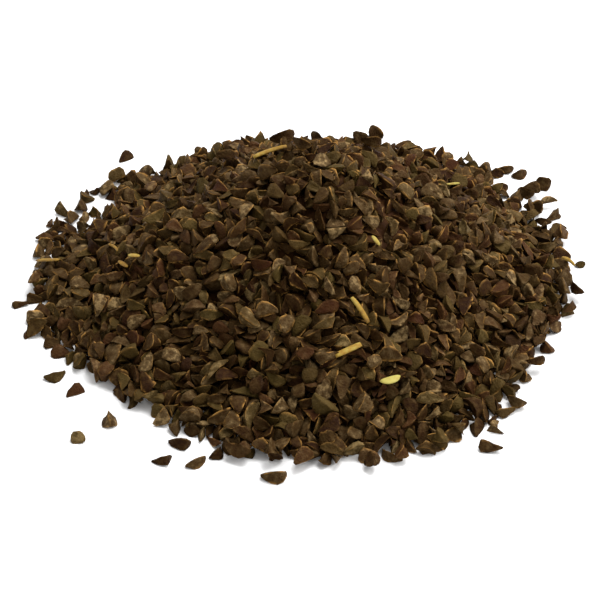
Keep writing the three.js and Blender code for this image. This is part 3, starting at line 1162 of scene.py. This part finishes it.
@dataclass
class Pouring:
    """The seeds over the core: where each is let go, before they settle."""

    skin: HeapSkin
    core: HeapCore
    stock: SeedStock
    sunk_spacing: float = 2.35
    sunk_least: float = 0.3
    sunk_rise: float = 0.7
    sunk_tip: float = 25.0
    spacing: float = 3.0
    jitter: float = 0.28
    layers: int = 5
    layer_rise: float = 2.3
    first_rise: float = 1.5
    rise_spread: float = 0.35
    mean_layer: float = 0.88
    loose_tip: float = 38.0
    pour_share: float = 0.6
    stay_share: float = 0.35
    seed: int = 11

    def layer(self, rng: np.random.Generator, spacing: float) -> tuple[np.ndarray, np.ndarray]:
        """Places of the plan on a turned triangular grid, each moved a little.

        Args:
            rng: the stream of random numbers.
            spacing: the grid's spacing.

        Returns:
            The places across and along.
        """
        reach = self.skin.mean.half * math.sqrt(2)
        steps = np.arange(-reach, reach, spacing)
        rows = np.arange(-reach, reach, spacing * math.sqrt(3) / 2)
        x, y = np.meshgrid(steps, rows)
        x = x + (np.arange(len(rows)) % 2)[:, None] * spacing / 2
        x = (x + rng.uniform(-1, 1, x.shape) * self.jitter * spacing).ravel()
        y = (y + rng.uniform(-1, 1, y.shape) * self.jitter * spacing).ravel()
        angle = rng.uniform(0, math.pi)
        return x * math.cos(angle) - y * math.sin(angle), x * math.sin(angle) + y * math.cos(angle)

    def lying(self, count: int, rng: np.random.Generator, tip: float) -> np.ndarray:
        """Turns of seeds that lie on one of their faces, headed any way and tipped a little.

        Args:
            count: how many.
            rng: the stream of random numbers.
            tip: the usual tip, in degrees.

        Returns:
            Turning matrices.
        """
        spread = math.radians(tip)
        roll = rng.integers(3, size=count) * 2 * math.pi / 3 + rng.normal(0, spread, count)
        return turns(rng.uniform(0, 2 * math.pi, count), rng.normal(0, spread, count), roll)

    def sunk(self) -> SeedCloud:
        """Seeds half sunk in the core's top, which close the gaps between those above.

        Returns:
            The seeds, already where they stay.
        """
        rng = np.random.default_rng(self.seed)
        x, y = self.layer(rng, self.sunk_spacing)
        here = self.core.top(x, y) > self.sunk_least
        x, y = x[here], y[here]
        z = self.core.top(x, y) + rng.uniform(0.0, self.sunk_rise, len(x))
        turn = self.lying(len(x), rng, self.sunk_tip)
        return self.stock.draw(np.stack([x, y, z], 1), turn, rng)

    def above(self) -> SeedCloud:
        """The seeds that are let go over the core and over the bare foot.

        Returns:
            The seeds, in loose layers above where they come to lie.
        """
        rng = np.random.default_rng(self.seed + 1)
        parts = []
        for index in range(self.layers):
            x, y = self.layer(rng, self.spacing)
            top = self.core.top(x, y)
            wanted = (self.skin.mean.at(x, y) - top) / self.mean_layer
            poured = self.skin.share.at(x, y) > self.pour_share
            here = poured & (index + rng.random(len(x)) < wanted)
            jolt = rng.uniform(-self.rise_spread, self.rise_spread, len(x))
            rise = self.first_rise + index * self.layer_rise + jolt
            place = np.stack([x, y, top + rise], 1)[here]
            parts.append(self.stock.draw(place, self.lying(len(place), rng, self.loose_tip), rng))
        return reduce(SeedCloud.plus, parts)

    def tidy(self, cloud: SeedCloud) -> SeedCloud:
        """Takes away what rolled off the outline or into a bare gap.

        Args:
            cloud: the settled seeds.

        Returns:
            Those that stay.
        """
        x, y, z = cloud.place.T
        keep = (z > 0) & (self.skin.share.at(x, y) > self.stay_share)
        LOG.info("settling: %d seeds rolled off and are left out", np.count_nonzero(~keep))
        return cloud.only(keep)


@dataclass
class Settling:
    """Lets loose seeds fall and come to rest on the core and the floor."""

    frames: int = 20
    steps: int = 9
    iterations: int = 10
    gravity: float = 1000.0
    friction: float = 0.9
    margin: float = 0.03
    linear_damping: float = 0.2
    angular_damping: float = 0.4

    def hull(self, name: str, points: np.ndarray) -> bpy.types.Mesh:
        """A mesh of a few of a seed's points, whose convex hull collides.

        Args:
            name: the mesh's name.
            points: the seed's points, in millimetres.

        Returns:
            The mesh.
        """
        rings = points[:-2].reshape(len(RINGS), SIDES, 3)
        steps = len(FACE_STEPS)
        ridges = rings[HULL_RIDGE_RINGS][:, ::steps].reshape(-1, 3)
        under = rings[HULL_FACE_RINGS][:, steps + 1 : 2 * steps].reshape(-1, 3)
        mesh = bpy.data.meshes.new(name)
        mesh.from_pydata(np.concatenate([ridges, under, points[-2:]]).tolist(), [], [])
        return mesh

    def body(self, item: bpy.types.Object, kind: str, shape: str) -> None:
        """Sets how an object takes part in the fall.

        Args:
            item: an object in the world's collection.
            kind: ACTIVE or PASSIVE.
            shape: its collision shape.
        """
        rigid = item.rigid_body
        rigid.type = kind
        rigid.collision_shape = shape
        rigid.friction = self.friction
        rigid.restitution = 0.0
        rigid.use_margin = True
        rigid.collision_margin = self.margin
        rigid.linear_damping = self.linear_damping
        rigid.angular_damping = self.angular_damping

    def run(self, cloud: SeedCloud, stock: SeedStock, ground: list[bpy.types.Object]) -> SeedCloud:
        """Settles a cloud.

        Args:
            cloud: the seeds to let go.
            stock: their shapes.
            ground: what they fall on, in millimetres.

        Returns:
            The seeds where they came to rest.
        """
        started = time.perf_counter()
        scene = bpy.context.scene
        usual_gravity = tuple(scene.gravity)
        scene.gravity = (0, 0, -self.gravity)
        kinds = np.ndindex(len(FORMS), VARIANTS)
        hulls = {key: self.hull("hull", stock.shapes[key]) for key in kinds}
        collection = bpy.data.collections.new("settling")
        bpy.ops.rigidbody.world_add()
        world = scene.rigidbody_world
        world.substeps_per_frame = self.steps
        world.solver_iterations = self.iterations
        world.collection = collection
        world.point_cache.frame_start = 1
        world.point_cache.frame_end = self.frames + 1
        matrices = np.tile(np.eye(4), (len(cloud), 1, 1))
        matrices[:, :3, :3] = cloud.turn * cloud.scale[:, None, :]
        matrices[:, :3, 3] = cloud.place
        items = []
        for key, matrix in zip(zip(cloud.kind.tolist(), cloud.variant.tolist()), matrices.tolist()):
            item = bpy.data.objects.new("falling", hulls[key])
            item.matrix_world = Matrix(matrix)
            scene.collection.objects.link(item)
            items.append(item)
        for item in items + ground:
            collection.objects.link(item)
        for item in items:
            self.body(item, "ACTIVE", "CONVEX_HULL")
        for item in ground:
            self.body(item, "PASSIVE", "MESH")
        for number in range(1, self.frames + 1):
            scene.frame_set(number)
        graph = bpy.context.evaluated_depsgraph_get()
        ended = np.array([np.array(item.evaluated_get(graph).matrix_world) for item in items])
        world.collection = None
        bpy.ops.rigidbody.world_remove()
        helpers = [item.data for item in ground] + list(hulls.values())
        bpy.data.batch_remove(items + ground + [collection])
        bpy.data.batch_remove(helpers)
        scene.frame_set(1)
        scene.gravity = usual_gravity
        turn = ended[:, :3, :3] / np.linalg.norm(ended[:, :3, :3], axis=1, keepdims=True)
        spent = time.perf_counter() - started
        LOG.info("settling: %d seeds came to rest in %.0f s", len(items), spent)
        return replace(cloud, place=ended[:, :3, 3], turn=turn)


def ground_copy(name: str, points: np.ndarray, faces: list) -> bpy.types.Object:
    """Something for seeds to fall on, in millimetres, which is removed again.

    Args:
        name: its name.
        points: its points.
        faces: its faces.

    Returns:
        The object, linked to the scene.
    """
    mesh = bpy.data.meshes.new(name)
    mesh.from_pydata(points.tolist(), [], faces)
    item = bpy.data.objects.new(name, mesh)
    bpy.context.scene.collection.objects.link(item)
    return item


# ---- The stage -------------------------------------------------------------------------------


@dataclass
class Stage:
    """A plain white surface, soft light and the camera."""

    centre: tuple
    distance: float = 340.0
    elevation: float = 36.3
    aim_lower: float = 3.1
    lens: float = 122.4
    sensor: float = 36.0
    near: float = 0.01
    far: float = 20.0
    picture: float = 600.0
    walk: tuple = (0.7, 1.3, 0.0005)
    floor_half: float = 1500.0
    room: float = 0.65
    lamps: tuple = (
        ("lamp_over", (0.16, 0.22, 0.52), 0.40, 4.6),
        ("lamp_side", (0.50, -0.05, 0.36), 0.30, 2.0),
    )

    def __post_init__(self) -> None:
        """Works out where the camera stands and the three directions of its view."""
        lift = math.radians(self.elevation)
        middle = np.array([*self.centre, 0.0])
        self.eye = middle + self.distance * np.array([0, -math.cos(lift), math.sin(lift)])
        self.target = middle - np.array([0, self.aim_lower, 0])
        ahead = (self.target - self.eye) / np.linalg.norm(self.target - self.eye)
        across = np.array([1.0, 0, 0])
        self.axes = np.stack([across, np.cross(across, ahead), ahead])

    def floor(self) -> None:
        """Lays the plain surface."""
        quad, no_triangles = np.array([[0, 1, 2, 3]]), np.zeros((0, 3), int)
        white = WhiteSurface().dress()
        make_object("floor", square(self.floor_half), quad, no_triangles, white)

    def light(self) -> None:
        """Sets the room's even light and two broad soft lamps."""
        world = bpy.data.worlds.new("room")
        world.use_nodes = True
        background = world.node_tree.nodes["Background"]
        background.inputs["Color"].default_value = (1, 1, 1, 1)
        background.inputs["Strength"].default_value = self.room
        bpy.context.scene.world = world
        for name, place, size, watts in self.lamps:
            data = bpy.data.lights.new(name, "AREA")
            data.size = size
            data.energy = watts
            lamp = bpy.data.objects.new(name, data)
            lamp.location = place
            lamp.rotation_mode = "QUATERNION"
            lamp.rotation_quaternion = (-Vector(place)).to_track_quat("-Z", "Y")
            bpy.context.scene.collection.objects.link(lamp)

    def camera(self) -> None:
        """Puts the camera in front and above, as high as the photograph's view."""
        data = bpy.data.cameras.new("camera")
        data.lens = self.lens
        data.sensor_width = self.sensor
        data.clip_start = self.near
        data.clip_end = self.far
        camera = bpy.data.objects.new("camera", data)
        camera.location = self.eye * METRE
        camera.rotation_mode = "QUATERNION"
        camera.rotation_quaternion = Vector(self.target - self.eye).to_track_quat("-Z", "Y")
        bpy.context.scene.collection.objects.link(camera)
        bpy.context.scene.camera = camera
        bpy.context.scene.view_settings.view_transform = "Standard"

    def sight(self, pixel: tuple, roof: HeightMap) -> np.ndarray:
        """The place on the heap (or the floor) that a pixel of the photograph shows.

        In words: the pixel's ray is walked from the camera until it is lower than the roof.

        Args:
            pixel: place across and down the photograph.
            roof: the heights of the heap.

        Returns:
            The place, in millimetres.
        """
        half = self.picture / 2
        slope = self.sensor / 2 / self.lens
        u, v = (pixel[0] - half) / half * slope, (half - pixel[1]) / half * slope
        direction = self.axes.T @ np.array([u, v, 1.0])
        walked = np.arange(*self.walk)[:, None] * self.distance
        path = self.eye[None, :] + walked * direction[None, :]
        below = path[:, 2] <= roof.at(path[:, 0], path[:, 1])
        return path[np.argmax(below)]


# ---- Single seeds and bits -------------------------------------------------------------------


@dataclass
class StraySeeds:
    """The seeds that lie apart round the foot, each a piece of its own."""

    stock: SeedStock
    seeds: tuple = (
        ChosenSeed("loose_seed_01", FLAKE, 6, 5, 2.9, BACK, 0, 0.30, 0.50, 0.3),
        ChosenSeed("loose_seed_02", CRESCENT, 2, 62, 3.2, LEFT, 0, 0.42, 0.10, 0.3),
        ChosenSeed("loose_seed_03", CRESCENT, 4, 22, 3.7, RIGHT, 0, 0.50, 0.85, 0.4),
        ChosenSeed("loose_seed_04", WEDGE, 3, 208, 3.2, RIGHT, 0, 0.32, 0.05, 0.2),
        ChosenSeed("loose_seed_05", BLOCK, 2, 98, 2.9, LEFT, 0, 0.72, 0.60, 0.6),
        ChosenSeed("loose_seed_06", BLOCK, 6, 0, 2.3, LEFT, 0, 1.00, 0.92, 0.2),
        ChosenSeed("loose_seed_07", CRESCENT, 6, 200, 3.3, LEFT, 0, 0.25, 0.45, 0.2),
        ChosenSeed("loose_seed_08", WEDGE, 5, 172, 3.6, LEFT, 0, 0.18, 0.40, 0.3),
        ChosenSeed("loose_seed_09", WEDGE, 7, 38, 3.8, RIGHT, 0, 0.62, 0.65, 0.6),
        ChosenSeed("loose_seed_10", WEDGE, 8, 186, 4.0, LEFT, 0, 0.58, 0.50, 0.9),
        ChosenSeed("loose_seed_11", FLAKE, 3, -22, 3.7, BACK, 0, 0.45, 0.50, 0.3),
        ChosenSeed("loose_seed_12", WEDGE, 0, 215, 3.1, RIGHT, 0, 0.20, 0.50, 0.2),
    )

    def one(self, seed: ChosenSeed) -> SeedCloud:
        """A cloud of one seed, lying on a face where its solid lies.

        Args:
            seed: the seed.

        Returns:
            The cloud.
        """
        cloud = self.stock.chosen((seed,), np.zeros((1, 3)))
        points = self.stock.points(cloud)[0]
        low, high = (np.array(corner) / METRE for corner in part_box(seed.spot))
        place = (low + high - points.min(0) - points.max(0)) / 2
        place[2] = -points[:, 2].min()
        return replace(cloud, place=place[None, :])

    def build(self) -> None:
        """Makes every stray seed, each in place of its solid."""
        for seed in self.seeds:
            piece = self.stock.piece(seed.spot.replace("loose", "stray"), self.one(seed))
            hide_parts(seed.spot)


@dataclass(frozen=True)
class Bit:
    """A straw or a bit of chaff, at the pixel of its middle in the photograph.

    heading is in degrees. taper draws its ends in, from 0, square, to 1, a parabola. Its tone
    runs from tone to tone_end, and bow swings its middle sideways.
    """

    pixel: tuple
    heading: float
    length: float
    width: float
    thickness: float
    taper: float
    tone: float
    tone_end: float
    bow: float = 0.0


@dataclass
class StrawBits:
    """The straw and chaff that lies on the heap."""

    stage: Stage
    roof: HeightMap
    smooth: HeightMap
    sides: int = 10
    stations: int = 9
    end_share: float = 0.03
    slope_reach: float = 2.0
    sink: float = 0.25
    bits: tuple = (
        Bit((360, 314), -52, 4.8, 0.85, 0.60, 0.10, 0.68, 0.26, 0.15),
        Bit((348, 354), 24, 4.4, 1.25, 0.45, 0.06, 0.48, 0.58),
        Bit((390, 381), 17, 3.3, 1.75, 0.40, 0.50, 0.97, 0.97, -0.35),
        Bit((270, 154), 14, 5.8, 1.00, 0.50, 0.08, 0.56, 0.34, 0.3),
        Bit((48, 262), -34, 5.4, 0.95, 0.40, 0.12, 0.42, 0.30),
        Bit((113, 249), -59, 3.4, 0.55, 0.40, 0.20, 0.25, 0.40, 0.3),
        Bit((134, 257), -48, 3.2, 1.20, 0.35, 0.45, 0.66, 0.50),
        Bit((123, 264), -56, 3.0, 0.95, 0.40, 0.40, 0.25, 0.32),
        Bit((453, 183), 40, 3.2, 0.55, 0.40, 0.15, 0.72, 0.80),
        Bit((376, 241), -46, 2.0, 0.80, 0.40, 0.40, 0.80, 0.75),
        Bit((568, 265), -20, 2.6, 0.70, 0.60, 0.20, 0.45, 0.62, 0.4),
    )

    def shape(self, bit: Bit) -> tuple[np.ndarray, np.ndarray]:
        """One bit as rings of points that follow a straight line over the heap.

        In words: an ellipse carried along a line through the place that the pixel shows, as steep
        as the heap is there, drawn in at both ends by a power of a parabola, and bowed sideways
        along the same parabola. The whole bit is lifted or lowered until it rests on the roof.

        Args:
            bit: the bit.

        Returns:
            Points ring by ring with the two end points last, and the angle round the bit of each.
        """
        centre = self.stage.sight(bit.pixel, self.smooth)
        heading = math.radians(bit.heading)
        level = np.array([math.cos(heading), math.sin(heading), 0.0])
        reach = self.slope_reach * level
        before, after = (self.smooth.at(*(centre + way * reach)[:2]) for way in (-1, 1))
        along = level + np.array([0, 0, (after - before) / (2 * self.slope_reach)])
        along /= np.linalg.norm(along)
        across = np.array([-level[1], level[0], 0.0])
        upward = np.cross(along, across)
        share = np.linspace(0, 1, self.stations)
        swell = 4 * share * (1 - share)
        full = np.clip(swell, self.end_share, 1) ** bit.taper
        angle = np.linspace(0, 2 * np.pi, self.sides, endpoint=False)
        line = (share[:, None] - 0.5) * bit.length * along
        middle = centre + line + swell[:, None] * bit.bow * across
        ring = (
            bit.width / 2 * np.cos(angle)[:, None] * across[None, :]
            + bit.thickness / 2 * np.sin(angle)[:, None] * upward[None, :]
        )
        points = (middle[:, None, :] + full[:, None, None] * ring[None, :, :]).reshape(-1, 3)
        points = np.concatenate([points, middle[[0, -1]]])
        points[:, 2] += self.roof.rest(points) + bit.thickness / 2 - self.sink
        points[:, 2] -= min(points[:, 2].min(), 0)
        return points, np.concatenate([np.tile(angle, self.stations), [0, 0]])

    def tones(self, bit: Bit) -> np.ndarray:
        """The tone of every point of a bit, which runs evenly from its start to its end."""
        along = np.repeat(np.linspace(bit.tone, bit.tone_end, self.stations), self.sides)
        return np.concatenate([along, [bit.tone, bit.tone_end]])

    def build(self) -> bpy.types.Object:
        """Makes all the bits as one piece.

        Returns:
            The piece.
        """
        points, angles = zip(*(self.shape(bit) for bit in self.bits))
        attributes = {
            "tone": np.concatenate([self.tones(bit) for bit in self.bits]),
            "across": np.concatenate(angles),
        }
        straw = DryStraw().dress()
        piece = make_tubes("straw_and_chaff", np.stack(points), self.sides, straw, attributes)
        return piece


@dataclass
class PlacedSeeds:
    """Single seeds set on the settled heap where the photograph shows them."""

    stage: Stage
    stock: SeedStock
    roof: HeightMap
    smooth: HeightMap
    sink: float = 0.35
    seeds: tuple = (
        ChosenSeed((371, 149), WEDGE, 4, 190, 3.8, LEFT, 10, 0.36, 0.50, 0.5, 1.0),
        ChosenSeed((375, 149), BLOCK, 5, 160, 3.0, LEFT, 55, 0.40, 0.50, 0.5, 2.0),
        ChosenSeed((285, 148), BLOCK, 2, 60, 3.2, LEFT, 0, 0.40, 0.50, 0.4, 0.3),
        ChosenSeed((282, 147), WEDGE, 8, 195, 4.4, LEFT, -10, 0.30, 0.50, 0.3, 1.7),
        ChosenSeed((301, 148), WEDGE, 6, 150, 3.6, LEFT, 6, 0.46, 0.50, 0.8, 0.2),
        ChosenSeed((227, 161), CRESCENT, 7, 200, 3.8, LEFT, 12, 0.35, 0.50, 0.4, 0.2),
        ChosenSeed((543, 187), BLOCK, 1, 170, 2.8, LEFT, 0, 0.45, 0.70, 0.2),
        ChosenSeed((532, 192), WEDGE, 0, 150, 3.3, RIGHT, 0, 0.55, 0.50, 0.3),
        ChosenSeed((553, 216), WEDGE, 3, 240, 3.4, LEFT, 0, 0.60, 0.70, 0.6),
        ChosenSeed((530, 206), CRESCENT, 4, 80, 3.4, LEFT, 0, 0.50, 0.30, 0.6),
        ChosenSeed((561, 235), BLOCK, 6, 80, 3.0, LEFT, 0, 0.60, 0.10, 0.9),
        ChosenSeed((548, 246), WEDGE, 5, 10, 3.3, RIGHT, 0, 0.62, 0.80, 0.3),
        ChosenSeed((548, 206), SLIVER, 2, 15, 3.4, LEFT, 0, 0.92, 0.70, 0.9, 0.2),
        ChosenSeed((467, 160), PLUMP, 3, 250, 2.9, BACK, 10, 0.62, 0.90, 0.2, 0.1),
        ChosenSeed((520, 176), WEDGE, 6, 35, 3.4, RIGHT, 0, 0.45, 0.40, 0.6),
        ChosenSeed((505, 170), CRESCENT, 1, 190, 3.6, LEFT, 0, 0.50, 0.60, 0.6),
        ChosenSeed((576, 292), WEDGE, 2, 120, 3.2, LEFT, 0, 0.20, 0.50, 0.2),
        ChosenSeed((570, 306), CRESCENT, 3, 60, 3.4, RIGHT, 0, 0.35, 0.15, 0.3),
        ChosenSeed((33, 283), FLAKE, 2, 250, 3.2, BACK, 0, 0.66, 0.12, 0.8),
        ChosenSeed((516, 404), WEDGE, 1, 150, 3.4, LEFT, 0, 0.72, 0.60, 0.8),
        ChosenSeed((506, 412), FLAKE, 4, 20, 3.4, BACK, 0, 0.50, 0.80, 0.6),
        ChosenSeed((535, 365), WEDGE, 7, 200, 3.4, LEFT, 0, 0.30, 0.40, 0.9),
        ChosenSeed((371, 464), PLUMP, 1, 280, 3.1, BACK, 0, 0.38, 0.50, 0.2),
        ChosenSeed((401, 453), WEDGE, 3, 70, 3.3, RIGHT, 0, 0.48, 0.08, 0.5),
        ChosenSeed((440, 436), WEDGE, 5, 100, 3.4, LEFT, 0, 0.55, 0.92, 0.4),
        ChosenSeed((302, 461), WEDGE, 0, 215, 3.6, RIGHT, 0, 0.50, 0.10, 0.5),
        ChosenSeed((271, 451), PLUMP, 6, 260, 3.3, BACK, 5, 0.55, 0.55, 0.2),
        ChosenSeed((238, 452), CRESCENT, 2, -22, 4.3, BACK, 0, 0.48, 0.20, 0.2),
        ChosenSeed((379, 288), CRESCENT, 5, -28, 4.0, BACK, 5, 0.45, 0.75, 1.0),
        ChosenSeed((266, 312), WEDGE, 2, 10, 3.7, LEFT, 8, 0.66, 0.50, 1.0),
        ChosenSeed((325, 324), CRESCENT, 8, 35, 4.2, RIGHT, 5, 0.64, 0.85, 0.6),
        ChosenSeed((329, 290), SLIVER, 4, 110, 3.9, LEFT, 12, 0.80, 0.60, 0.6),
        ChosenSeed((286, 326), WEDGE, 8, 60, 3.6, LEFT, 10, 0.70, 0.35, 1.0),
        ChosenSeed((391, 357), WEDGE, 9, -10, 3.7, LEFT, 5, 0.60, 0.50, 1.0),
        ChosenSeed((374, 362), BLOCK, 3, 40, 2.6, LEFT, 5, 0.80, 0.35, 0.9),
        ChosenSeed((305, 358), PLUMP, 2, 15, 2.9, BACK, 0, 0.50, 0.01, 0.1),
        ChosenSeed((327, 358), FLAKE, 5, 5, 4.0, BACK, 5, 0.60, 0.55, 1.0),
        ChosenSeed((362, 376), PLUMP, 4, 285, 3.2, BACK, 8, 0.58, 0.75, 0.3),
        ChosenSeed((407, 374), CRESCENT, 0, -25, 3.3, BACK, 5, 0.60, 0.40, 0.8),
        ChosenSeed((363, 403), WEDGE, 6, 75, 4.4, RIGHT, 5, 0.68, 0.30, 0.9),
        ChosenSeed((430, 399), SLIVER, 6, -5, 4.2, LEFT, 5, 0.78, 0.90, 0.7),
        ChosenSeed((443, 192), CRESCENT, 3, 130, 3.4, RIGHT, 5, 1.00, 0.80, 0.8),
        ChosenSeed((580, 266), PLUMP, 6, 10, 1.9, BACK, 0, 0.50, 0.98, 0.1),
        ChosenSeed((464, 231), PLUMP, 7, 100, 3.2, BACK, 5, 0.86, 0.92, 0.3),
        ChosenSeed((154, 220), CRESCENT, 9, 40, 4.6, BACK, 5, 0.62, 0.95, 0.6),
        ChosenSeed((115, 277), WEDGE, 4, 20, 2.8, BACK, 0, 0.80, 0.04, 0.8),
    )

    def settle(self) -> SeedCloud:
        """Lays each seed on the heap.

        In words: each seed is turned, brought over the place that its pixel shows, and moved up or
        down until it rests on the roof, sunk a little between its neighbours.

        Returns:
            The seeds.
        """
        place = np.stack([self.stage.sight(seed.spot, self.smooth) for seed in self.seeds])
        cloud = self.stock.chosen(self.seeds, place)
        cloud.place[:, 2] += self.roof.rest(self.stock.points(cloud)) - self.sink
        cloud.place[:, 2] += np.array([seed.rise for seed in self.seeds])
        LOG.info("placed seeds: %d", len(cloud))
        return self.stock.on_floor(cloud)


# ---- Everything, in order --------------------------------------------------------------------


@dataclass
class SeedHeap:
    """The heap itself: its core, the seeds settled on it, and what lies on those."""

    stage: Stage
    stock: SeedStock
    roof_pitch: float = 0.5
    roof_blur: float = 1.2

    def build(self) -> None:
        """Builds the heap and reports its pieces."""
        skin = HeapSkin()
        core = HeapCore(skin, self.stage.centre)
        core.build()
        pouring = Pouring(skin, core, self.stock)
        loose = pouring.above()
        loose = pouring.tidy(Settling().run(loose, self.stock, core.ground()))
        cloud = self.stock.on_floor(pouring.sunk().plus(loose))
        blank = HeightMap.blank(skin.mean.half, self.roof_pitch)
        roof = blank.top_of(self.stock.points(cloud).reshape(-1, 3))
        smooth = roof.blurred(self.roof_blur)
        cloud = cloud.plus(PlacedSeeds(self.stage, self.stock, roof, smooth).settle())
        for index, kind in enumerate(FORMS):
            piece = self.stock.piece(f"heap_seeds_{kind.value}", cloud.only(cloud.kind == index))
            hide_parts(HEAP_NODE)
        StrawBits(self.stage, roof, smooth).build()


KNOWN_SEED = "loose_seed_10"
KNOWN_PLACE = (-3.90, -47.52)  # its middle in the plan, from the middle of the heap's foot


def foot_centre() -> tuple[float, float]:
    """The middle of the heap's foot in the plan, from a stray seed whose place from it is known.

    Returns:
        The place across and along, in millimetres.
    """
    low, high = (np.array(corner)[:2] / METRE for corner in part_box(KNOWN_SEED))
    return tuple(((low + high) / 2 - np.array(KNOWN_PLACE)).tolist())


def main() -> None:
    """Builds the stage, the heap and the stray seeds, and reports each piece."""
    logging.basicConfig(level=logging.INFO, format="%(name)s: %(message)s")
    started = time.perf_counter()
    stage = Stage(foot_centre())
    stage.floor()
    stage.light()
    stage.camera()
    stock = SeedStock()
    SeedHeap(stage, stock).build()
    StraySeeds(stock).build()
    LOG.info("made in %.1f s", time.perf_counter() - started)


if __name__ == "__main__":
    main()
